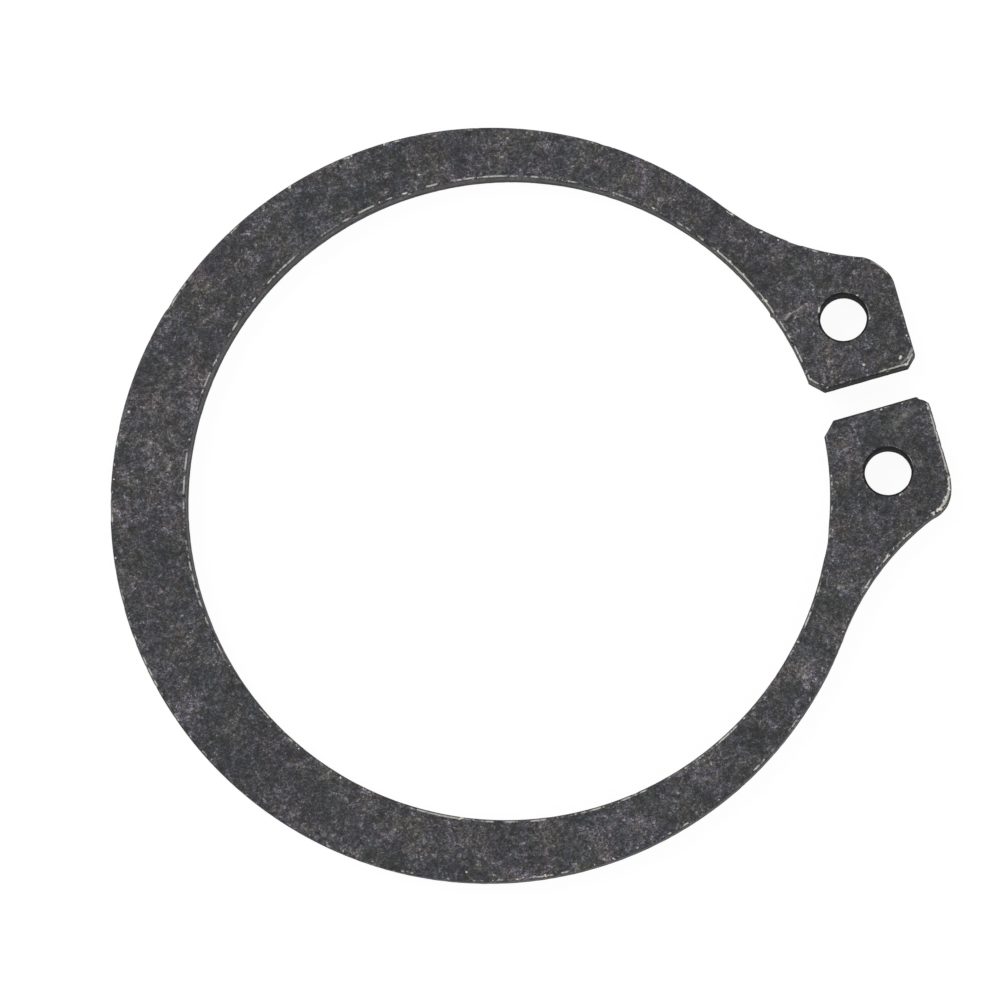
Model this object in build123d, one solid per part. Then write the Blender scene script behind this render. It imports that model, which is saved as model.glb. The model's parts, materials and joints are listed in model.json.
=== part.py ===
"""External retaining ring (circlip) for a 30 mm shaft, blanked from spring steel strip.

The ring lies flat with its underside at Z = 0. The origin is the centre of the bore, the gap
points along +X, and the ring is mirrored about the XZ plane. It is drawn relaxed, as it leaves
the blanking tool, before pliers open it over a shaft. Lengths are in millimetres.
"""

from build123d import *
import math
import os

# Strip and bore
strip_thickness = 1.5
bore_diameter = 27.9

# Tapered section: the rim is a circle set off from the bore, away from the gap
section_back = 3.33        # radial width opposite the gap
section_front = 1.62       # radial width that the taper would reach at the gap

# Lugs: one head that the gap splits in two
lug_height = 4.71          # from the bore edge to the lugs' flat end
lug_end_width = 8.5        # straight part of the flat end, across both lugs
corner_radius = 1.7        # from the flat end to the shoulder
sweep_radius = 11.7        # hollow curve from the shoulder to the rim

# Gap between the lugs, with its mouths flared at 45 degrees
gap_width = 1.38
bore_mouth_flare = 0.54
end_mouth_flare = 0.42

# Plier holes
plier_hole_diameter = 2.0
plier_hole_pitch = 6.97    # between the two hole centres
plier_hole_inset = 2.17    # from the bore edge to the line through both centres

# Edges left by the blanking tool
die_roll = 0.14            # rounding all round the upper face, where the punch pushed in
edge_break = 0.05          # bevel all round the underside, where the burr was tumbled off

# Derived places
bore_radius = bore_diameter / 2
rim_radius = bore_radius + (section_back + section_front) / 2
rim_centre = Vector((section_front - section_back) / 2, 0)
end_x = bore_radius + lug_height
corner_centre = Vector(end_x - corner_radius, lug_end_width / 2)
plier_hole_x = bore_radius + plier_hole_inset


def polar(centre: Vector, radius: float, angle: float) -> Vector:
    """A point at a radius and an angle in degrees about a centre."""
    turn = math.radians(angle)
    return centre + Vector(math.cos(turn), math.sin(turn)) * radius


def heading(start: Vector, finish: Vector) -> float:
    """The direction from one point to another, in degrees from +X."""
    step = finish - start
    return math.degrees(math.atan2(step.Y, step.X))


def sweep_centre() -> Vector:
    """Centre of the hollow curve that touches both the rim and the lug's corner from outside."""
    to_rim = rim_radius + sweep_radius
    to_corner = corner_radius + sweep_radius
    between = (corner_centre - rim_centre).length
    cosine = (between**2 + to_rim**2 - to_corner**2) / (2 * between * to_rim)
    turn = math.degrees(math.acos(cosine))
    return polar(rim_centre, to_rim, heading(rim_centre, corner_centre) + turn)


def rim_profile() -> Sketch:
    """The outer edge all round: flat end, rounded corners, hollow curves and the rim."""
    hollow = sweep_centre()
    rim_angle = heading(rim_centre, hollow)
    corner_angle = heading(corner_centre, hollow)
    corner_top = corner_centre + Vector(corner_radius, 0)
    shoulder = polar(corner_centre, corner_radius, corner_angle)
    hollow_mid = polar(hollow, sweep_radius, 180 + (rim_angle + corner_angle) / 2)
    rim_start = polar(rim_centre, rim_radius, rim_angle)
    corner_mid = polar(corner_centre, corner_radius, corner_angle / 2)
    upper = [
        ThreePointArc(corner_top, corner_mid, shoulder),
        ThreePointArc(shoulder, hollow_mid, rim_start),
    ]
    lower = [mirror(edge, about=Plane.XZ) for edge in upper]
    rim = CenterArc(rim_centre, rim_radius, rim_angle, 360 - 2 * rim_angle)
    flat_end = Line((end_x, -corner_centre.Y), (end_x, corner_centre.Y))
    return make_face(Curve() + [flat_end, *upper, rim, *lower])


def gap_profile() -> Sketch:
    """The slot between the lugs, a little wider at the bore and at the flat end."""
    half = gap_width / 2
    bore_x = math.sqrt(bore_radius**2 - half**2)
    upper = [
        (bore_x - bore_mouth_flare, half + 2 * bore_mouth_flare),
        (bore_x + bore_mouth_flare, half),
        (end_x - end_mouth_flare, half),
        (end_x + end_mouth_flare, half + 2 * end_mouth_flare),
    ]
    lower = [(x, -y) for x, y in reversed(upper)]
    return make_face(Polyline(*upper, *lower, close=True))


def ring_profile() -> Sketch:
    """The ring seen from above, with its bore, gap and plier holes."""
    half_pitch = plier_hole_pitch / 2
    holes = [Pos(plier_hole_x, side * half_pitch) * Circle(plier_hole_diameter / 2) for side in (-1, 1)]
    return rim_profile() - Circle(bore_radius) - gap_profile() - holes


def circlip() -> Part:
    """The finished ring: blanked, rounded round its upper face and deburred underneath."""
    ring = extrude(ring_profile(), strip_thickness)
    ring = fillet(ring.faces().sort_by(Axis.Z)[-1].edges(), die_roll)
    return chamfer(ring.faces().sort_by(Axis.Z)[0].edges(), edge_break)


os.makedirs("parts", exist_ok=True)
export_step(circlip(), "parts/circlip.step")
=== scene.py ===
"""Dresses an external circlip: blanked spring steel, black phosphated, with edges worn bright.

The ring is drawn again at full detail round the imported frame: the outline by spins and extrudes,
the plate by a fill and an extrude, and its rolled and broken edges by bevels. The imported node
stays as the hidden solid that this piece stands for.
"""

import json
import logging
import math
from dataclasses import dataclass
from enum import Enum
from typing import Any

import bpy
from mathutils import Matrix, Vector, noise

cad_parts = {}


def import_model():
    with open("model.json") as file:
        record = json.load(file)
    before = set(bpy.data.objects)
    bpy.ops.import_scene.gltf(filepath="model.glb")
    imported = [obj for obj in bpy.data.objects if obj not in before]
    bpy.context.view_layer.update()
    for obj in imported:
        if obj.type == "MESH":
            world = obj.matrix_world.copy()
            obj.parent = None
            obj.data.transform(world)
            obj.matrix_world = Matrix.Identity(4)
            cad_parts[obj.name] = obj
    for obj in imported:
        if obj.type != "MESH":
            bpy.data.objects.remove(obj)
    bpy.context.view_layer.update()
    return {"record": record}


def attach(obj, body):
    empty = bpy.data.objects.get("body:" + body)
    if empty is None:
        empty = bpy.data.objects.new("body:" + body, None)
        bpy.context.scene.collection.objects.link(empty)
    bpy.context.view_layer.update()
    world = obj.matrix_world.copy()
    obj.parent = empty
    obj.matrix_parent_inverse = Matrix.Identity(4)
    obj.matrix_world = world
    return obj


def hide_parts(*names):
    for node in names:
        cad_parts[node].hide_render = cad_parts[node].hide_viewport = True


log = logging.getLogger("circlip")

MM = 0.001
UP = Vector((0, 0, 1))
PLIER_HOLES = ("plier_hole_left", "plier_hole_right")
LEVEL = 0.9
"""Upright part of a face's normal, past which the face counts as level."""
FLAT = 0.995
"""Upright part of a face's normal, past which the face is no part of a rounding or a bevel."""


@dataclass(frozen=True)
class RingSizes:
    """The ring's driving sizes, in metres, and the places worked out from them.

    Attributes:
        bore_radius: Radius of the relaxed bore.
        thickness: Thickness of the strip.
        section_back: Radial width opposite the gap.
        section_front: Radial width that the taper would reach at the gap.
        lug_height: From the bore edge to the lugs' flat end.
        lug_end_width: Straight part of the flat end, across both lugs.
        corner_radius: Rounding from the flat end to the shoulder.
        sweep_radius: Hollow curve from the shoulder to the rim.
        gap_width: Space between the lugs.
        bore_mouth_flare: Leg of the flare where the gap opens to the bore.
        end_mouth_flare: Leg of the flare where the gap opens at the flat end.
        die_roll: Rounding round the upper face.
        edge_break: Bevel round the underside.
    """

    bore_radius: float = 13.95 * MM
    thickness: float = 1.5 * MM
    section_back: float = 3.33 * MM
    section_front: float = 1.62 * MM
    lug_height: float = 4.71 * MM
    lug_end_width: float = 8.5 * MM
    corner_radius: float = 1.7 * MM
    sweep_radius: float = 11.7 * MM
    gap_width: float = 1.38 * MM
    bore_mouth_flare: float = 0.54 * MM
    end_mouth_flare: float = 0.42 * MM
    die_roll: float = 0.14 * MM
    edge_break: float = 0.05 * MM

    @property
    def rim_radius(self) -> float:
        """Radius of the outer edge."""
        return self.bore_radius + (self.section_back + self.section_front) / 2

    @property
    def rim_centre(self) -> Vector:
        """Centre of the outer edge, set off from the bore away from the gap."""
        return Vector(((self.section_front - self.section_back) / 2, 0, 0))

    @property
    def end_x(self) -> float:
        """Distance of the lugs' flat end from the bore's centre."""
        return self.bore_radius + self.lug_height

    @property
    def corner_centre(self) -> Vector:
        """Centre of the upper lug's corner rounding."""
        return Vector((self.end_x - self.corner_radius, self.lug_end_width / 2, 0))

    @property
    def sweep_centre(self) -> Vector:
        """Centre of the hollow curve that touches both the rim and the lug's corner."""
        to_rim = self.rim_radius + self.sweep_radius
        to_corner = self.corner_radius + self.sweep_radius
        step = self.corner_centre - self.rim_centre
        cosine = (step.length**2 + to_rim**2 - to_corner**2) / (2 * step.length * to_rim)
        turn = math.atan2(step.y, step.x) + math.acos(cosine)
        return self.rim_centre + Vector((math.cos(turn), math.sin(turn), 0)) * to_rim

    @property
    def bore_mouth(self) -> Vector:
        """Where the upper lug's flare meets the bore."""
        half = self.gap_width / 2
        start = Vector((math.sqrt(self.bore_radius**2 - half**2), half + self.bore_mouth_flare, 0))
        slope = Vector((-1, 1, 0))
        reach = start.dot(slope)
        step = (-reach - math.sqrt(reach**2 - 2 * (start.length_squared - self.bore_radius**2))) / 2
        return start + slope * step


def deselect_all() -> None:
    """Clears the object selection, which loading the frame leaves full."""
    bpy.ops.object.select_all(action="DESELECT")


def edit_only(obj: bpy.types.Object) -> None:
    """Makes an object the only selected one and opens it in edit mode.

    Args:
        obj: The object.
    """
    deselect_all()
    obj.select_set(True)
    bpy.context.view_layer.objects.active = obj
    bpy.ops.object.mode_set(mode="EDIT")


def leave_edit() -> None:
    """Goes back to object mode."""
    bpy.ops.object.mode_set(mode="OBJECT")


class OutlinePen:
    """Draws one closed loop of vertices in the XY plane, by extruding and spinning its last point."""

    def __init__(self, name: str, start: Vector, spacing: float) -> None:
        """Starts the loop.

        Args:
            name: Name of the new object.
            start: First point.
            spacing: Largest distance between neighbouring points.
        """
        deselect_all()
        bpy.ops.mesh.primitive_plane_add(size=spacing, location=start)
        self.obj = bpy.context.object
        self.obj.name = name
        bpy.ops.object.transform_apply(location=True, rotation=False, scale=False)
        self.spacing = spacing
        self.at = start.copy()
        edit_only(self.obj)
        bpy.ops.mesh.select_mode(type="VERT")
        bpy.ops.mesh.select_all(action="SELECT")
        bpy.ops.mesh.merge(type="CENTER")

    def line_to(self, target: Vector) -> None:
        """Extrudes the last point to a target in equal steps.

        Args:
            target: Where the line ends.
        """
        run = target - self.at
        steps = max(1, math.ceil(run.length / self.spacing))
        for _ in range(steps):
            bpy.ops.mesh.extrude_region_move(TRANSFORM_OT_translate={"value": run / steps})
        self.at = target.copy()

    def arc_to(self, target: Vector, centre: Vector, clockwise: bool) -> None:
        """Spins the last point about a centre until it reaches a target's direction.

        Args:
            target: Where the arc ends.
            centre: Centre of the arc.
            clockwise: Which way the arc runs, seen from above.
        """
        start, finish = self.at - centre, target - centre
        turn = math.atan2(finish.y, finish.x) - math.atan2(start.y, start.x)
        turn %= 2 * math.pi
        if clockwise:
            turn = 2 * math.pi - turn
        steps = max(1, math.ceil(turn * start.length / self.spacing))
        angle = turn if clockwise else -turn
        bpy.ops.mesh.spin(steps=steps, angle=angle, center=centre, axis=UP, dupli=False)
        self.at = target.copy()

    def close(self) -> bpy.types.Object:
        """Merges the last point with the first.

        Returns:
            The loop's object.
        """
        bpy.ops.mesh.select_all(action="SELECT")
        bpy.ops.mesh.remove_doubles(threshold=self.spacing / 20)
        leave_edit()
        return self.obj


def mirrored(point: Vector) -> Vector:
    """The same point on the other lug."""
    return Vector((point.x, -point.y, point.z))


def toward(centre: Vector, other: Vector, distance: float) -> Vector:
    """The point at a distance from a centre, in the direction of another point."""
    return centre + (other - centre).normalized() * distance


@dataclass(frozen=True)
class Knock:
    """A small dent or burr on an edge of the ring.

    Attributes:
        place: Where it sits, in the ring's plane.
        reach: How far it spreads along the edge.
        depth: How far the edge is pushed back; a burr's depth is negative.
    """

    place: Vector
    reach: float
    depth: float


@dataclass(frozen=True)
class BlankedWall:
    """How far blanking and handling leave a wall from its true place, in millimetres.

    Attributes:
        tear_height: Height where the sheared zone ends and the torn zone begins, as a share.
        wander: Slow drift of that height along the wall, as a share.
        ripple: Its quick drift.
        onset: Height over which the torn zone sets in.
        taper: How far the torn zone leans inwards for each unit that it falls.
        wave: Slow unevenness of the whole edge.
        drag: Depth of the upright lines in the sheared zone.
        crumb: Coarseness of the torn zone.
        crumb_floor: Share of that by which all of the torn zone stands back.
        chip: Depth of the chips beside the upper face.
        chip_rarity: Noise level that has to be passed to make a chip.
        chip_start: Height where chips begin.
        chip_onset: Height over which they set in.
    """

    tear_height: float = 0.5
    wander: float = 0.16
    ripple: float = 0.07
    onset: float = 0.1
    taper: float = 0.015
    wave: float = 0.003
    drag: float = 0.003
    crumb: float = 0.011
    crumb_floor: float = 0.7
    chip: float = 0.12
    chip_rarity: float = 0.36
    chip_start: float = 1.2
    chip_onset: float = 0.2

    def torn(self, at: Vector, thickness: float) -> float:
        """How far a point lies in the torn zone, from 0 to 1.

        Args:
            at: The point.
            thickness: Thickness of the strip.

        Returns:
            The share.
        """
        drift = self.wander * noise.noise(Vector((at.x * 0.5, at.y * 0.5, 3.7)))
        drift += self.ripple * noise.noise(Vector((at.x * 2.6, at.y * 2.6, 9.1)))
        line = thickness * (self.tear_height + drift)
        return min(1.0, max(0.0, (line - at.z) / self.onset))

    def setback(self, at: Vector, torn: float) -> float:
        """How far a point of a wall or an edge stands back from its true place.

        Args:
            at: The point.
            torn: How far it lies in the torn zone.

        Returns:
            The distance, towards the inside of the metal.
        """
        wave = self.wave * (1 + noise.noise(Vector((at.x * 0.35, at.y * 0.35, 1.3))))
        drag = self.drag * (1 + noise.noise(Vector((at.x * 5.0, at.y * 5.0, at.z * 0.3))))
        crumb = 0.5 * noise.noise(at * 3.0) + 0.5 * noise.noise(at * 6.5)
        chip = max(0.0, noise.noise(at * 1.9 + Vector((4, 8, 2))) - self.chip_rarity) * self.chip
        near_face = min(1.0, max(0.0, (at.z - self.chip_start) / self.chip_onset))
        crumbled = self.crumb * (self.crumb_floor + crumb)
        return wave + drag * (1 - torn) + crumbled * torn + chip * near_face


@dataclass
class Circlip:
    """The ring itself.

    Attributes:
        sizes: Its driving sizes.
        holes: The plier holes' centres, from the record's mounts.
        hole_radius: Their radius.
        spacing: Distance between neighbouring points along every edge.
        margin: Width of the border that keeps a face's edge loops apart, in those distances.
        wall_bands: Level bands that each wall is cut into.
        wall: How its walls stand off their true places.
        hole_rim: Reach of a plier hole with its rounded edge, in hole radii.
        gap_painted_shade: Strength of the painted shade in the gap, where a plier hole is 1.
        knocks: Dents and burrs on its edges.
    """

    sizes: RingSizes
    holes: list[Vector]
    hole_radius: float
    spacing: float = 0.085 * MM
    margin: float = 2.2
    wall_bands: int = 14
    wall: BlankedWall = BlankedWall()
    hole_rim: float = 1.12
    gap_painted_shade: float = 0.7
    knocks: tuple[Knock, ...] = (
        Knock(Vector((13.17, 4.58, 0)) * MM, 0.12 * MM, -0.07 * MM),
        Knock(Vector((18.36, -0.72, 0)) * MM, 0.22 * MM, 0.07 * MM),
        Knock(Vector((18.6, -1.15, 0)) * MM, 0.15 * MM, 0.03 * MM),
        Knock(Vector((12.71, -5.76, 0)) * MM, 0.9 * MM, 0.035 * MM),
        Knock(Vector((0.42, 16.2, 0)) * MM, 0.25 * MM, 0.04 * MM),
        Knock(Vector((3.08, 15.8, 0)) * MM, 0.2 * MM, 0.03 * MM),
        Knock(Vector((18.62, -2.3, 0)) * MM, 0.14 * MM, 0.03 * MM),
        Knock(Vector((18.62, -3.1, 0)) * MM, 0.12 * MM, 0.03 * MM),
        Knock(Vector((18.2, -5.5, 0)) * MM, 1.1 * MM, -0.09 * MM),
        Knock(Vector((18.3, 5.3, 0)) * MM, 0.8 * MM, 0.06 * MM),
    )

    def outline(self) -> bpy.types.Object:
        """Draws the ring's closed outline, anticlockwise from the flat end of the upper lug.

        Returns:
            The outline, one closed loop.
        """
        s = self.sizes
        half = s.gap_width / 2
        flat_start = Vector((s.end_x, half + s.end_mouth_flare, 0))
        corner = s.corner_centre
        corner_start = corner + Vector((s.corner_radius, 0, 0))
        shoulder = toward(corner, s.sweep_centre, s.corner_radius)
        rim_start = toward(s.rim_centre, s.sweep_centre, s.rim_radius)
        mouth = s.bore_mouth
        gap_bore = Vector((math.sqrt(s.bore_radius**2 - half**2) + s.bore_mouth_flare, half, 0))
        gap_end = Vector((s.end_x - s.end_mouth_flare, half, 0))
        pen = OutlinePen("circlip_ring", flat_start, self.spacing)
        pen.line_to(corner_start)
        pen.arc_to(shoulder, corner, clockwise=False)
        pen.arc_to(rim_start, s.sweep_centre, clockwise=True)
        pen.arc_to(mirrored(rim_start), s.rim_centre, clockwise=False)
        pen.arc_to(mirrored(shoulder), mirrored(s.sweep_centre), clockwise=True)
        pen.arc_to(mirrored(corner_start), mirrored(corner), clockwise=False)
        pen.line_to(mirrored(flat_start))
        pen.line_to(mirrored(gap_end))
        pen.line_to(mirrored(gap_bore))
        pen.line_to(mirrored(mouth))
        pen.arc_to(mouth, Vector((0, 0, 0)), clockwise=True)
        pen.line_to(gap_bore)
        pen.line_to(gap_end)
        pen.line_to(flat_start)
        return pen.close()

    def plate(self) -> bpy.types.Object:
        """Fills the outline round its holes and gives it the strip's thickness.

        Returns:
            The ring with sharp edges.
        """
        ring = self.outline()
        edit_only(ring)
        steps = math.ceil(2 * math.pi * self.hole_radius / self.spacing)
        for centre in self.holes:
            bpy.ops.mesh.primitive_circle_add(vertices=steps, radius=self.hole_radius, location=centre)
        bpy.ops.mesh.select_all(action="SELECT")
        bpy.ops.mesh.fill(use_beauty=True)
        bpy.ops.mesh.select_all(action="SELECT")
        rise = (0, 0, self.sizes.thickness)
        bpy.ops.mesh.extrude_region_move(TRANSFORM_OT_translate={"value": rise})
        bpy.ops.mesh.select_all(action="SELECT")
        bpy.ops.mesh.normals_make_consistent(inside=False)
        leave_edit()
        return ring

    def select_faces(self, obj: bpy.types.Object, height: float) -> None:
        """Selects the flat faces of the ring that lie at one height, and nothing else.

        Args:
            obj: The ring.
            height: Height of the faces.
        """
        leave_edit()
        for poly in obj.data.polygons:
            near = abs(poly.center.z - height) < self.sizes.die_roll / 10
            poly.select = near and abs(poly.normal.z) > LEVEL
        bpy.ops.object.mode_set(mode="EDIT")

    def roll_edges(self, obj: bpy.types.Object) -> None:
        """Rounds the edges of the upper face and bevels those of the underside.

        Args:
            obj: The ring.
        """
        s = self.sizes
        edit_only(obj)
        bpy.ops.mesh.select_mode(type="FACE")
        for height, width, segments in ((s.thickness, s.die_roll, 6), (0.0, s.edge_break, 2)):
            bpy.ops.mesh.select_all(action="DESELECT")
            self.select_faces(obj, height)
            bpy.ops.mesh.inset(thickness=self.spacing * self.margin, use_even_offset=True)
            bpy.ops.mesh.select_all(action="DESELECT")
            self.select_faces(obj, height)
            bpy.ops.mesh.region_to_loop()
            bpy.ops.mesh.bevel(offset=width, segments=segments, affect="EDGES", clamp_overlap=False)
            bpy.ops.mesh.select_mode(type="FACE")
        leave_edit()

    def band_walls(self, obj: bpy.types.Object) -> None:
        """Cuts the walls into level bands, so that the torn zone has points to move.

        Args:
            obj: The ring.
        """
        s = self.sizes
        edit_only(obj)
        bpy.ops.mesh.select_mode(type="EDGE")
        bpy.ops.mesh.select_all(action="DESELECT")
        leave_edit()
        heights = [vertex.co.z for vertex in obj.data.vertices]
        nearly_whole = (s.thickness - s.die_roll - s.edge_break) * 0.9
        for edge in obj.data.edges:
            rise = abs(heights[edge.vertices[0]] - heights[edge.vertices[1]])
            edge.select = rise > nearly_whole
        bpy.ops.object.mode_set(mode="EDIT")
        bpy.ops.mesh.subdivide(number_cuts=self.wall_bands - 1)
        leave_edit()

    def weather(self, obj: bpy.types.Object) -> None:
        """Moves the edge and wall points: drag lines above, torn metal below, dents and burrs.

        Args:
            obj: The ring.
        """
        top = self.sizes.thickness
        wall = self.wall
        sliver = top / 1000
        moving = [v for v in obj.data.vertices if sliver < v.co.z < top - sliver]
        outward = [v.normal.copy() for v in moving]
        for vertex, normal in zip(moving, outward):
            at = vertex.co / MM
            torn = wall.torn(at, top / MM)
            depth = wall.setback(at, torn) * MM
            depth += torn * (wall.tear_height * top - vertex.co.z) * wall.taper
            for knock in self.knocks:
                gap = (vertex.co.xy - knock.place.xy).length / knock.reach
                depth += knock.depth * max(0.0, 1 - gap * gap) ** 2
            level = Vector((normal.x, normal.y, 0))
            vertex.co -= level * depth

    def painted_shade_share(self, point: Vector) -> float:
        """How far a point of an edge or wall gets the painted shade: 1 in a plier hole, less in the
        gap.

        Args:
            point: The point.

        Returns:
            The share, from 0 in the open to 1.
        """
        s = self.sizes
        if min((point.xy - hole.xy).length for hole in self.holes) < self.hole_radius * self.hole_rim:
            return 1.0
        in_gap = abs(point.y) < s.gap_width / 2 + s.die_roll and point.x > s.bore_radius
        return self.gap_painted_shade if in_gap else 0.0

    def mark_zones(self, obj: bpy.types.Object) -> None:
        """Stores where the edges, the torn zone and the plier holes are, for the finish to read; the
        last is where the painted shade of the plier holes and the gap falls.

        Args:
            obj: The ring.
        """
        points = obj.data.vertices
        shoulder = [0.0] * len(points)
        for poly in obj.data.polygons:
            if abs(poly.normal.z) < FLAT:
                for index in poly.vertices:
                    shoulder[index] = 1.0
        thickness = self.sizes.thickness / MM
        torn = [self.wall.torn(v.co / MM, thickness) * shoulder[v.index] for v in points]
        # Painted shade: the plier holes and the gap are marked so that the finish darkens them.
        inside = [self.painted_shade_share(v.co) * shoulder[v.index] for v in points]
        for name, values in (("shoulder", shoulder), ("torn", torn), ("painted_shade_zone", inside)):
            layer = obj.data.attributes.new(name, "FLOAT", "POINT")
            layer.data.foreach_set("value", values)

    def build(self) -> bpy.types.Object:
        """Makes the finished ring.

        Returns:
            The ring's object, shaded smooth up to its sharp edges.
        """
        ring = self.plate()
        self.roll_edges(ring)
        self.band_walls(ring)
        self.mark_zones(ring)
        self.weather(ring)
        deselect_all()
        ring.select_set(True)
        bpy.context.view_layer.objects.active = ring
        bpy.ops.object.shade_smooth_by_angle(angle=math.radians(50))
        return ring


class Bench:
    """Lays out shader nodes in one tree and joins them, so that a finish reads as a list of steps."""

    def __init__(self, tree: bpy.types.NodeTree) -> None:
        """Takes the tree that the nodes go into."""
        self.tree = tree

    def add(self, kind: str, **settings: Any) -> bpy.types.Node:
        """Adds a node and sets its properties.

        Args:
            kind: The node's type.
            settings: Its properties by name.

        Returns:
            The node.
        """
        node = self.tree.nodes.new(kind)
        for name, value in settings.items():
            setattr(node, name, value)
        return node

    def feed(self, socket: bpy.types.NodeSocket, value: Any) -> None:
        """Joins an output to a socket, or sets the socket to a plain value.

        Args:
            socket: The input.
            value: An output, or a number, vector or colour.
        """
        if isinstance(value, bpy.types.NodeSocket):
            self.tree.links.new(value, socket)
        else:
            socket.default_value = value

    def math(self, operation: str, *values: Any, clamp: bool = False) -> bpy.types.NodeSocket:
        """Adds a Math node on one, two or three values.

        Args:
            operation: What it does.
            values: Outputs or numbers.
            clamp: Whether the result is kept between 0 and 1.

        Returns:
            The result.
        """
        node = self.add("ShaderNodeMath", operation=operation, use_clamp=clamp)
        for socket, value in zip(node.inputs, values):
            self.feed(socket, value)
        return node.outputs[0]

    def vector(self, operation: str, *values: Any) -> bpy.types.Node:
        """Adds a Vector Math node on one or two vectors.

        Args:
            operation: What it does.
            values: Outputs or vectors.

        Returns:
            The node, as some operations put out a vector and others a value.
        """
        node = self.add("ShaderNodeVectorMath", operation=operation)
        for socket, value in zip(node.inputs, values):
            self.feed(socket, value)
        return node

    def noise(
        self,
        place: Any,
        scale: float,
        detail: int = 0,
        roughness: float = 0.5,
        distortion: float = 0.0,
    ) -> bpy.types.NodeSocket:
        """Adds a Noise Texture centred on zero, with a standard deviation of about 1.

        Args:
            place: Coordinates that it is read at.
            scale: Features to a unit of length.
            detail: Number of finer layers, up to 3.
            roughness: Strength of each finer layer.
            distortion: How far it swirls.

        Returns:
            Its value, mostly between -2 and 2.
        """
        node = self.add("ShaderNodeTexNoise")
        settings = (scale, detail, roughness, distortion)
        for name, value in zip(("Scale", "Detail", "Roughness", "Distortion"), settings):
            node.inputs[name].default_value = value
        self.feed(node.inputs["Vector"], place)
        gain = (8.0, 11.2, 13.4, 15.4)[detail]
        return self.math("MULTIPLY_ADD", node.outputs[0], gain, -gain / 2)

    def total(self, *parts: tuple[Any, float]) -> Any:
        """Adds values up, each with its own weight.

        Args:
            parts: Pairs of a value and its weight.

        Returns:
            The sum.
        """
        value: Any = 0.0
        for part, weight in parts:
            value = self.math("MULTIPLY_ADD", part, weight, value)
        return value

    def ramp(self, value: Any, low: Any, high: Any) -> bpy.types.NodeSocket:
        """Rises smoothly from 0 to 1 as a value goes from low to high, or falls if low is larger.

        Args:
            value: The value.
            low: Where the result is 0.
            high: Where it is 1.

        Returns:
            The result.
        """
        node = self.add("ShaderNodeMapRange", interpolation_type="SMOOTHSTEP")
        for socket, number in zip(node.inputs, (value, low, high, 0.0, 1.0)):
            self.feed(socket, number)
        return node.outputs[0]

    def blend(self, factor: Any, below: Any, above: Any) -> bpy.types.NodeSocket:
        """Lays one colour over another.

        Args:
            factor: How far the upper colour covers.
            below: The lower colour.
            above: The upper colour.

        Returns:
            The colour.
        """
        node = self.add("ShaderNodeMix", data_type="RGBA")
        self.feed(node.inputs[0], factor)
        self.feed(node.inputs[6], below)
        self.feed(node.inputs[7], above)
        return node.outputs[2]

    def fade(self, factor: Any, below: Any, above: Any) -> bpy.types.NodeSocket:
        """Goes from one value to another.

        Args:
            factor: How far it has gone.
            below: The value at 0.
            above: The value at 1.

        Returns:
            The value.
        """
        node = self.add("ShaderNodeMix", data_type="FLOAT")
        self.feed(node.inputs[0], factor)
        self.feed(node.inputs[2], below)
        self.feed(node.inputs[3], above)
        return node.outputs[0]

    def group(self, tree: bpy.types.NodeTree, **inputs: Any) -> bpy.types.Node:
        """Places a node group and feeds its inputs by name.

        Args:
            tree: The group.
            inputs: What each input gets.

        Returns:
            The group's node.
        """
        node = self.add("ShaderNodeGroup", node_tree=tree)
        for name, value in inputs.items():
            self.feed(node.inputs[name], value)
        return node


@dataclass
class Effect:
    """A shader node group in the making.

    Attributes:
        name: The group's name.
        vectors: Names of its vector inputs.
        values: Names of its value inputs.
        outputs: Names of its outputs, all values.
    """

    name: str
    vectors: tuple[str, ...]
    values: tuple[str, ...]
    outputs: tuple[str, ...]

    def __post_init__(self) -> None:
        """Makes the group's tree with its sockets."""
        self.tree = bpy.data.node_groups.new(self.name, "ShaderNodeTree")
        sockets = self.tree.interface
        for name in self.vectors:
            sockets.new_socket(name=name, in_out="INPUT", socket_type="NodeSocketVector")
        for name in self.values:
            sockets.new_socket(name=name, in_out="INPUT", socket_type="NodeSocketFloat")
        for name in self.outputs:
            sockets.new_socket(name=name, in_out="OUTPUT", socket_type="NodeSocketFloat")
        self.bench = Bench(self.tree)
        self.entry = self.bench.add("NodeGroupInput")
        self.exit = self.bench.add("NodeGroupOutput")

    def given(self, name: str) -> bpy.types.NodeSocket:
        """An input, as the nodes inside the group see it."""
        return self.entry.outputs[name]

    def give(self, **results: Any) -> bpy.types.NodeTree:
        """Joins the outputs by name.

        Args:
            results: What each output gives.

        Returns:
            The finished group.
        """
        for name, value in results.items():
            self.bench.feed(self.exit.inputs[name], value)
        return self.tree


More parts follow.
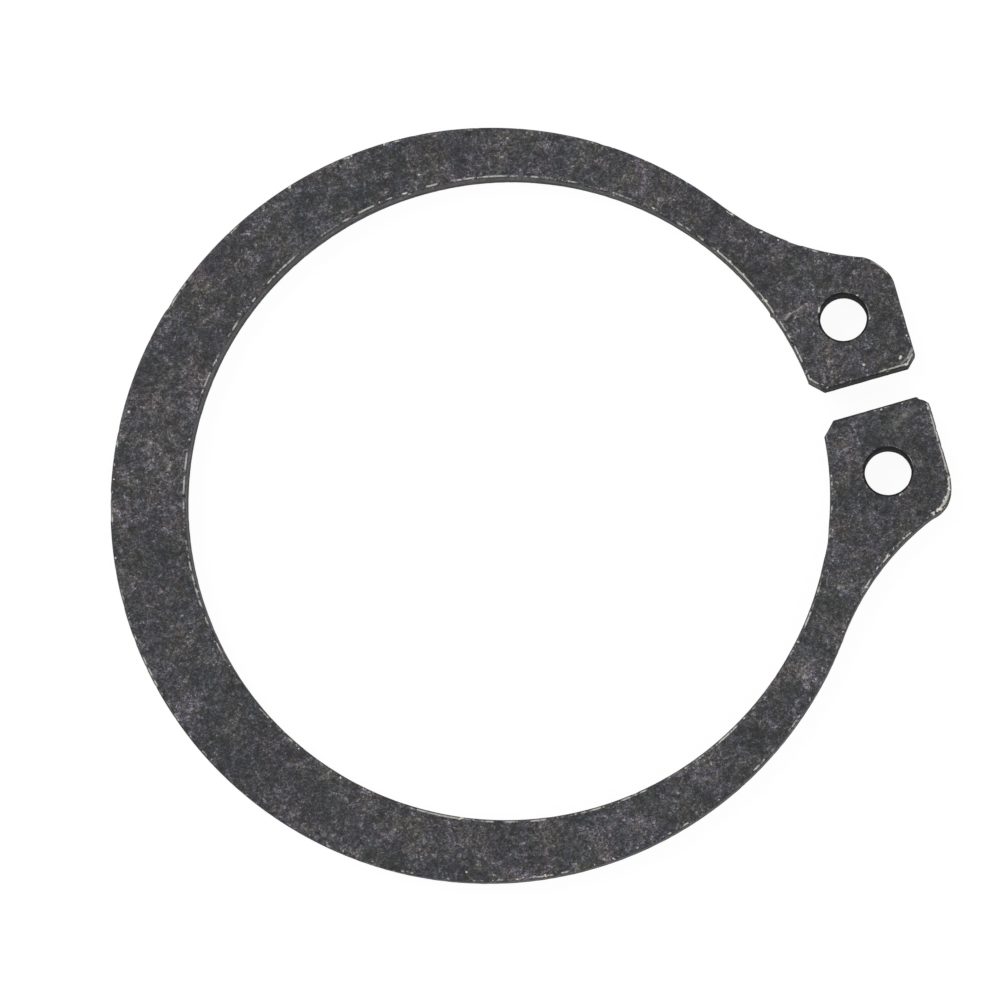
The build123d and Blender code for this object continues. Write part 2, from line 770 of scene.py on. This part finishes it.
def phosphate_effect() -> bpy.types.NodeTree:
    """Crystals of the phosphate coat: a grain, short strands, clumps of them and slow drifts.

    Returns:
        The group.
    """
    effect = Effect("phosphate", ("Place",), (), ("Shade", "Red", "Blue", "Relief"))
    b = effect.bench
    place = effect.given("Place")
    grain = b.noise(place, 15.0, 1, 0.9)
    crystals = b.noise(place, 6.0, 1, 0.9, 0.9)
    tufts = b.noise(place, 2.7, 1, 0.8, 0.8)
    clumps = b.noise(place, 0.9, 1, 0.8, 0.5)
    drifts = b.noise(place, 0.22, 1, 0.6)
    strand = b.ramp(b.math("ABSOLUTE", b.noise(place, 3.1, 2, 0.7, 1.4)), 0.45, 0.0)
    broken = b.ramp(b.total((crystals, 0.6), (clumps, 0.6)), 0.0, 1.2)
    strands = b.math("MULTIPLY", strand, broken)
    needles: Any = 0.0
    for turn in (0.2, 0.9, 1.7, 2.5):
        lying = b.add("ShaderNodeMapping")
        lying.inputs["Rotation"].default_value = (0, 0, turn)
        lying.inputs["Scale"].default_value = (4.6, 12.0, 6.0)
        b.feed(lying.inputs["Vector"], b.vector("ADD", place, (turn, -turn, turn)).outputs[0])
        needle = b.ramp(b.noise(lying.outputs[0], 1.0, distortion=1.3), 1.0, 2.3)
        needles = b.math("MAXIMUM", needles, needle)
    shade = b.total(
        (grain, 0.54),
        (crystals, 0.44),
        (tufts, 0.34),
        (clumps, 0.22),
        (drifts, 0.1),
        (strands, 1.0),
        (needles, 0.9),
    )
    shade = b.math("SUBTRACT", shade, 0.2)
    red = b.total((b.noise(place, 6.3), 0.75), (b.noise(place, 0.9, 1), 0.42))
    blue = b.total((b.noise(place, 5.1), 0.75), (b.noise(place, 0.7, 1), 0.5), (needles, 0.5))
    relief = b.total((grain, 0.3), (crystals, 0.45), (needles, 0.7))
    return effect.give(Shade=shade, Red=red, Blue=blue, Relief=relief)


def worn_edge_and_highlight_effect() -> bpy.types.NodeTree:
    """Coating rubbed thin along an edge, with a painted highlight: a broken bright line on the
    rounding, partly wear and partly painted highlight, and chips down to the steel.

    Returns:
        The group.
    """
    effect = Effect("worn_edge_and_painted_highlight", ("Place",), ("Shoulder", "Depth", "Rub"), ("Line", "Chips"))
    b = effect.bench
    place = effect.given("Place")
    # Painted highlight: the line is laid on the rounding where its glint falls, and is raised round the
    # bore and the rim.
    rising = b.ramp(effect.given("Depth"), 0.0, 0.004)
    crest = b.math("MULTIPLY", rising, b.ramp(effect.given("Depth"), 0.05, 0.015))
    reach = b.vector("LENGTH", b.vector("MULTIPLY", place, (1.0, 1.0, 0.0)).outputs[0])
    at_bore = b.ramp(reach.outputs["Value"], 14.35, 14.15)
    at_rim = b.ramp(reach.outputs["Value"], 15.0, 16.0)
    breaks = b.total(
        (b.noise(place, 0.5, 1), 0.6),
        (b.noise(place, 2.2, 2, 0.8), 0.7),
        (effect.given("Rub"), 1.3),
        (at_bore, 1.1),
        (at_rim, 0.4),
    )
    line = b.math("MULTIPLY", crest, b.ramp(breaks, 0.9, 2.4))
    flake = b.total((b.noise(place, 3.4, 2, 0.7), 1.0), (effect.given("Rub"), 0.8))
    chips = b.math("MULTIPLY", b.ramp(flake, 2.1, 2.7), b.ramp(effect.given("Depth"), 0.2, 0.1))
    chips = b.math("MULTIPLY", chips, b.ramp(effect.given("Shoulder"), 0.2, 0.7))
    return effect.give(Line=line, Chips=chips)


def sheared_wall_effect() -> bpy.types.NodeTree:
    """A blanked wall: upright drag lines in the sheared zone and coarse crumbs in the torn one.

    Returns:
        The group.
    """
    effect = Effect("sheared_wall", ("Place",), ("Torn",), ("Shade", "Relief"))
    b = effect.bench
    place = effect.given("Place")
    upright = b.vector("MULTIPLY", place, (1.0, 1.0, 0.07)).outputs[0]
    drag = b.total((b.noise(upright, 9.0, 2, 0.8), 0.8), (b.noise(upright, 2.5, 1), 0.5))
    crumbs = b.total((b.noise(place, 6.5, 3, 0.8), 0.8), (b.noise(place, 1.6, 1), 0.5))
    torn = effect.given("Torn")
    sheared_shade = b.math("MULTIPLY_ADD", drag, 0.4, 0.05)
    torn_shade = b.math("MULTIPLY_ADD", crumbs, 0.5, -0.35)
    shade = b.fade(torn, sheared_shade, torn_shade)
    relief = b.fade(torn, b.math("MULTIPLY", drag, 0.2), b.math("MULTIPLY", crumbs, 0.8))
    return effect.give(Shade=shade, Relief=relief)


def stroke_effect() -> bpy.types.NodeTree:
    """A straight stroke between two points of the ring's plane; equal points make a dot.

    Returns:
        The group.
    """
    effect = Effect("stroke", ("Place", "Start", "End"), ("Width",), ("Mask",))
    b = effect.bench
    flat = b.vector("MULTIPLY", effect.given("Place"), (1.0, 1.0, 0.0)).outputs[0]
    run = b.vector("SUBTRACT", effect.given("End"), effect.given("Start")).outputs[0]
    step = b.vector("SUBTRACT", flat, effect.given("Start")).outputs[0]
    along = b.vector("DOT_PRODUCT", step, run).outputs["Value"]
    whole = b.vector("DOT_PRODUCT", run, run).outputs["Value"]
    share = b.math("DIVIDE", along, whole, clamp=True)
    scaled = b.vector("SCALE", run)
    b.feed(scaled.inputs["Scale"], share)
    gap = b.vector("DISTANCE", step, scaled.outputs[0]).outputs["Value"]
    mask = b.ramp(b.math("DIVIDE", gap, effect.given("Width")), 1.0, 0.3)
    return effect.give(Mask=mask)


class MarkKind(Enum):
    """What made a mark on the ring."""

    SCRATCH = "scratch"
    SPECK = "speck"
    RUB = "rub"


@dataclass(frozen=True)
class Mark:
    """One mark on the ring, from one point of its plane to another, in millimetres.

    Attributes:
        kind: What made it.
        start: Where it begins.
        end: Where it ends; a dot ends where it begins.
        width: How far it reaches to each side.
        strength: How plain it is; a rub below 0 is a stretch of edge that kept its coating, and rubs
            also set where the edge line's painted highlight shows.
    """

    kind: MarkKind
    start: tuple[float, float]
    end: tuple[float, float]
    width: float
    strength: float = 1.0


MARKS = (
    Mark(MarkKind.SCRATCH, (13.71, 4.12), (13.95, 4.28), 0.09, 0.9),
    Mark(MarkKind.SCRATCH, (13.95, 4.28), (14.35, 4.36), 0.06, 0.7),
    Mark(MarkKind.SCRATCH, (14.35, 4.36), (14.74, 4.5), 0.06, 0.5),
    Mark(MarkKind.SCRATCH, (16.95, -1.67), (17.5, -1.32), 0.16, 0.35),
    Mark(MarkKind.SCRATCH, (17.5, -1.32), (17.99, -1.16), 0.2, 0.3),
    Mark(MarkKind.SCRATCH, (18.6, 1.35), (18.34, 1.04), 0.1, 1.2),
    Mark(MarkKind.SCRATCH, (18.34, 1.04), (17.95, 0.86), 0.06, 0.9),
    Mark(MarkKind.SPECK, (15.24, 4.18), (15.17, 4.02), 0.06),
    Mark(MarkKind.SPECK, (16.40, 1.26), (16.40, 1.26), 0.08),
    Mark(MarkKind.SPECK, (17.98, 1.1), (18.03, 1.16), 0.08),
    Mark(MarkKind.SPECK, (-14.79, 8.15), (-14.79, 8.15), 0.08),
    Mark(MarkKind.SPECK, (-6.06, -15.12), (-6.06, -15.12), 0.06),
    # Rubs brighten the edge line, which is partly wear and partly painted highlight; those below 0 hold
    # it back.
    Mark(MarkKind.RUB, (14.3, 1.2), (14.9, 0.8), 0.35, 1.2),
    Mark(MarkKind.RUB, (15.3, 0.8), (15.6, 0.8), 0.25, 1.4),
    Mark(MarkKind.RUB, (16.3, 0.8), (18.2, 0.8), 0.35, 0.7),
    Mark(MarkKind.RUB, (18.2, 0.8), (18.55, 1.2), 0.35, 0.2),
    Mark(MarkKind.RUB, (14.4, -0.9), (18.2, -0.8), 0.3, -0.4),
    Mark(MarkKind.RUB, (18.6, -1.3), (18.6, -4.2), 0.35, 1.3),
    Mark(MarkKind.RUB, (18.6, -4.7), (18.0, -5.7), 0.45, 1.9),
    Mark(MarkKind.RUB, (16.8, -6.0), (15.7, -6.35), 0.4, 1.1),
    Mark(MarkKind.RUB, (15.7, -6.35), (14.7, -7.0), 0.4, 1.3),
    Mark(MarkKind.RUB, (14.7, -7.0), (13.5, -8.0), 0.4, 1.5),
    Mark(MarkKind.RUB, (14.2, -1.4), (12.6, -6.2), 0.4, -0.8),
    Mark(MarkKind.RUB, (11.9, 7.2), (13.1, 4.8), 0.35, 0.9),
    Mark(MarkKind.RUB, (13.3, 4.4), (14.0, 1.6), 0.3, 0.4),
    Mark(MarkKind.RUB, (-0.6, 13.9), (2.4, 13.7), 0.4, 0.7),
    Mark(MarkKind.RUB, (-4.9, -15.6), (-2.7, -16.0), 0.4, 1.4),
    Mark(MarkKind.RUB, (0.6, -16.0), (1.9, -15.9), 0.4, 1.0),
    Mark(MarkKind.RUB, (-7.0, -12.1), (-5.2, -12.9), 0.35, 1.0),
)


@dataclass(frozen=True)
class BlackenedSteel:
    """Black phosphate on spring steel.

    Attributes:
        coat: Colour of the coating, between its darkest pits and its palest crystals.
        spread: How far apart those are; the shades are spread evenly by ratio.
        warmth: How far its red strays from clump to clump.
        coolness: How far its blue strays.
        steel: Colour of the steel where the coating has rubbed off, and of the painted highlight along
            the edges.
        dirt: Colour of stray specks.
        painted_shade_level: How much of its colour the coat keeps under the painted shade in the plier
            holes and the gap.
        grain: Height of the crystals.
        roughness: Of the coated faces.
        gloss: Level of the coat's reflection, where 0.5 is plain.
    """

    coat: tuple[float, float, float] = (0.0425, 0.0415, 0.0445)
    spread: float = 0.67
    warmth: float = 0.065
    coolness: float = 0.075
    steel: tuple[float, float, float, float] = (0.40, 0.39, 0.36, 1)
    dirt: tuple[float, float, float, float] = (0.62, 0.60, 0.52, 1)
    painted_shade_level: float = 0.25
    grain: float = 0.006 * MM
    roughness: float = 0.56
    gloss: float = 0.25

    def marks(self, b: Bench, place: Any, kind: MarkKind, stroke: bpy.types.NodeTree) -> Any:
        """Adds up the marks of one kind.

        Args:
            b: The material's bench.
            place: Coordinates in millimetres.
            kind: Which marks.
            stroke: The group that draws one.

        Returns:
            How plain they are at each place.
        """
        value: Any = 0.0
        for mark in MARKS:
            if mark.kind is kind:
                ends = {"Start": (*mark.start, 0), "End": (*mark.end, 0)}
                dab = b.group(stroke, Place=place, Width=mark.width, **ends)
                value = b.math("MULTIPLY_ADD", dab.outputs["Mask"], mark.strength, value)
        return value

    def material(self, sizes: RingSizes) -> bpy.types.Material:
        """Builds the finish.

        Args:
            sizes: The ring's sizes, for the height of its faces.

        Returns:
            The node material.
        """
        made = bpy.data.materials.new("blackened_spring_steel")
        made.use_nodes = True
        made.node_tree.nodes.clear()
        b = Bench(made.node_tree)
        place = b.add("ShaderNodeMapping")
        place.inputs["Scale"].default_value = (1 / MM, 1 / MM, 1 / MM)
        b.feed(place.inputs["Vector"], b.add("ShaderNodeTexCoord").outputs["Object"])
        place = place.outputs[0]
        shoulder = b.add("ShaderNodeAttribute", attribute_name="shoulder").outputs["Fac"]
        torn = b.add("ShaderNodeAttribute", attribute_name="torn").outputs["Fac"]
        painted_shade_zone = b.add("ShaderNodeAttribute", attribute_name="painted_shade_zone").outputs["Fac"]
        half = sizes.thickness / MM / 2
        height = b.add("ShaderNodeSeparateXYZ")
        b.feed(height.inputs[0], place)
        off_middle = b.math("ABSOLUTE", b.math("SUBTRACT", height.outputs["Z"], half))
        depth = b.math("SUBTRACT", half, off_middle)

        stroke = stroke_effect()
        scratches = self.marks(b, place, MarkKind.SCRATCH, stroke)
        specks = self.marks(b, place, MarkKind.SPECK, stroke)
        rub = self.marks(b, place, MarkKind.RUB, stroke)
        on_top = b.ramp(height.outputs["Z"], half * 1.9, half * 1.96)
        near_top = b.ramp(height.outputs["Z"], half * 1.82, half * 1.88)
        scratches = b.math("MULTIPLY", scratches, near_top)
        specks = b.math("MULTIPLY", specks, on_top)

        coat = b.group(phosphate_effect(), Place=place)
        wall = b.group(sheared_wall_effect(), Place=place, Torn=torn)
        edge = b.group(worn_edge_and_highlight_effect(), Place=place, Shoulder=shoulder, Depth=depth, Rub=rub)
        on_wall = b.math("MULTIPLY", b.ramp(depth, 0.02, 0.14), shoulder)

        quiet = b.math("MULTIPLY_ADD", coat.outputs["Shade"], 0.5, wall.outputs["Shade"])
        shade = b.fade(on_wall, coat.outputs["Shade"], quiet)
        lightness = b.math("EXPONENT", b.math("MULTIPLY", shade, self.spread))
        in_hole = b.ramp(painted_shade_zone, 0.8, 0.95)
        outside = b.math("SUBTRACT", 1.0, in_hole)
        edge_wear_and_highlight = b.math("MULTIPLY", edge.outputs["Line"], outside)
        chips = b.math("MULTIPLY", edge.outputs["Chips"], outside)
        # Painted shade: the coat is darkened in the plier holes and the gap, and fades out towards the
        # faces.
        painted_shade_zone = b.math("MULTIPLY", painted_shade_zone, b.ramp(depth, 0.0, b.fade(in_hole, 0.06, 0.016)))
        kept = b.fade(painted_shade_zone, 1.0, self.painted_shade_level)
        lightness = b.math("MULTIPLY", lightness, kept)
        red, green, blue = self.coat
        tint = b.add("ShaderNodeCombineXYZ")
        b.feed(tint.inputs[0], b.math("MULTIPLY_ADD", coat.outputs["Red"], self.warmth * red, red))
        b.feed(tint.inputs[1], green)
        b.feed(tint.inputs[2], b.math("MULTIPLY_ADD", coat.outputs["Blue"], self.coolness * blue, blue))
        coated = b.vector("SCALE", tint.outputs[0])
        b.feed(coated.inputs["Scale"], lightness)
        # Painted highlight: the edge line, partly wear and partly painted highlight, is mixed towards
        # the steel's colour.
        colour = b.blend(b.math("MULTIPLY", edge_wear_and_highlight, 0.9), coated.outputs[0], self.steel)
        scratched = b.math("MULTIPLY", scratches, 0.4)
        colour = b.blend(scratched, colour, self.steel)
        colour = b.blend(b.math("MAXIMUM", chips, specks), colour, self.dirt)

        bare = b.math("MAXIMUM", b.math("MULTIPLY", edge_wear_and_highlight, 0.6), scratched)
        rough = b.total(
            (coat.outputs["Shade"], 0.03),
            (torn, 0.12),
            (bare, -0.18),
            (on_wall, 0.15),
            (painted_shade_zone, 0.3),
        )
        relief = b.fade(on_wall, coat.outputs["Relief"], wall.outputs["Relief"])
        bump = b.add("ShaderNodeBump")
        bump.inputs["Strength"].default_value = 1.0
        bump.inputs["Distance"].default_value = self.grain
        b.feed(bump.inputs["Height"], relief)

        skin = b.add("ShaderNodeBsdfPrincipled")
        b.feed(skin.inputs["Base Color"], colour)
        skin.inputs["Specular IOR Level"].default_value = self.gloss
        b.feed(skin.inputs["Metallic"], bare)
        b.feed(skin.inputs["Roughness"], b.math("ADD", rough, self.roughness, clamp=True))
        b.feed(skin.inputs["Normal"], bump.outputs[0])
        b.feed(b.add("ShaderNodeOutputMaterial").inputs["Surface"], skin.outputs[0])
        return made


@dataclass(frozen=True)
class Lamp:
    """A square soft lamp that faces the ring.

    Attributes:
        name: Its name.
        place: Where it hangs.
        share: Share of the plain light level that it adds on a level surface.
        size: Length of its sides.
    """

    name: str
    place: Vector
    share: float
    size: float = 0.45

    def hang(self) -> None:
        """Adds the lamp to the scene."""
        bpy.ops.object.light_add(type="AREA", location=self.place)
        lamp = bpy.context.object
        lamp.name = self.name
        lamp.data.size = self.size
        slant = self.place.z / self.place.length
        lamp.data.energy = self.share * math.pi**2 * self.place.length_squared / slant
        lamp.rotation_mode = "QUATERNION"
        lamp.rotation_quaternion = (-self.place).to_track_quat("-Z", "Y")


@dataclass(frozen=True)
class Studio:
    """The floor, the lights and the camera.

    Attributes:
        azimuth: Where the camera stands round the ring, in degrees.
        elevation: Its height above the horizon, in degrees.
        roll: Its turn about its own line of sight, in degrees.
        distance: From the aim to the camera.
        focal_length: Of its lens, in millimetres.
        aim: The point that it looks at.
        surround: Strength of the even light from all round.
        lamps: The lamps; their shares and the surround make up the plain light level.
        paper: Colour of the floor.
        floor_size: Length of its sides.
        glow: Strength of the white that the floor shows where it is seen.
        glow_share: How much of what is seen of the floor is that white; the rest is shaded paper.
    """

    azimuth: float = 14.1
    elevation: float = 83.0
    roll: float = -30.0
    distance: float = 300 * MM
    focal_length: float = 249.2
    aim: tuple[float, float, float] = (-0.336 * MM, 0.054 * MM, 0.766 * MM)
    surround: float = 0.45
    lamps: tuple[Lamp, ...] = (
        Lamp("key", Vector((-0.30, 0.38, 0.55)), 0.33),
        Lamp("fill", Vector((0.30, -0.45, 0.50)), 0.22),
    )
    paper: float = 0.85
    floor_size: float = 3.0
    glow: float = 1.06
    glow_share: float = 0.88

    def camera(self) -> None:
        """Adds the camera and makes it the scene's."""
        turn, rise = math.radians(self.azimuth), math.radians(self.elevation)
        level = math.cos(rise)
        back = Vector((math.sin(turn) * level, -math.cos(turn) * level, math.sin(rise)))
        level_right = Vector((math.cos(turn), math.sin(turn), 0))
        right = Matrix.Rotation(math.radians(self.roll), 3, back) @ level_right
        axes = Matrix((right, back.cross(right), back)).transposed()
        bpy.ops.object.camera_add()
        camera = bpy.context.object
        camera.data.lens = self.focal_length
        camera.data.clip_start = self.distance / 100
        camera.data.clip_end = self.distance * 100
        stand = Matrix.Translation(Vector(self.aim) + back * self.distance)
        camera.matrix_world = stand @ axes.to_4x4()
        bpy.context.scene.camera = camera

    def seen(self, b: Bench) -> bpy.types.NodeSocket:
        """Tells where the background is looked at, mirrored or seen through, from where it gives light.

        Args:
            b: The bench that the node goes on.

        Returns:
            1 where it is seen, and 0 where it gives light.
        """
        path = b.add("ShaderNodeLightPath").outputs
        mirrored_too = b.math("MAXIMUM", path["Is Camera Ray"], path["Is Glossy Ray"])
        return b.math("MAXIMUM", mirrored_too, path["Is Transmission Ray"])

    def floor(self) -> bpy.types.Object:
        """Adds the pale floor that the ring lies on.

        Returns:
            The floor.
        """
        deselect_all()
        bpy.ops.mesh.primitive_plane_add(size=self.floor_size, location=(0, 0, 0))
        floor = bpy.context.object
        floor.name = "floor"
        made = bpy.data.materials.new("paper")
        made.use_nodes = True
        made.node_tree.nodes.clear()
        b = Bench(made.node_tree)
        paper = b.add("ShaderNodeBsdfDiffuse")
        paper.inputs["Color"].default_value = (self.paper, self.paper, self.paper, 1)
        glow = b.add("ShaderNodeEmission")
        glow.inputs["Color"].default_value = (1, 1, 1, 1)
        glow.inputs["Strength"].default_value = self.glow
        mixed = b.add("ShaderNodeMixShader")
        b.feed(mixed.inputs[0], b.math("MULTIPLY", self.seen(b), self.glow_share))
        b.feed(mixed.inputs[1], paper.outputs[0])
        b.feed(mixed.inputs[2], glow.outputs[0])
        b.feed(b.add("ShaderNodeOutputMaterial").inputs["Surface"], mixed.outputs[0])
        floor.data.materials.append(made)
        return floor

    def world(self) -> None:
        """Sets the even surround, white where it is seen."""
        world = bpy.data.worlds.new("surround")
        world.use_nodes = True
        b = Bench(world.node_tree)
        sky = world.node_tree.nodes["Background"]
        sky.inputs["Color"].default_value = (1, 1, 1, 1)
        b.feed(sky.inputs["Strength"], b.fade(self.seen(b), self.surround, 1.0))
        bpy.context.scene.world = world

    def build(self) -> bpy.types.Object:
        """Sets up the whole studio.

        Returns:
            The floor.
        """
        self.world()
        for lamp in self.lamps:
            lamp.hang()
        self.camera()
        bpy.context.scene.view_settings.view_transform = "Standard"
        return self.floor()


def main() -> None:
    """Loads the frame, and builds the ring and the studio."""
    logging.basicConfig(level=logging.INFO)
    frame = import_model()
    mounts = {mount["name"]: mount for mount in frame["record"]["mounts"]}
    holes = [Vector((*mounts[name]["pos_m"][:2], 0)) for name in PLIER_HOLES]
    sizes = RingSizes()
    clip = Circlip(sizes, holes, mounts[PLIER_HOLES[0]]["dims"]["r_mm"] * MM)
    ring = clip.build()
    ring.data.materials.append(BlackenedSteel().material(sizes))
    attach(ring, "root")
    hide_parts("circlip")
    log.info("%s: %d faces", ring.name, len(ring.data.polygons))
    Studio().build()


if __name__ == "__main__":
    main()
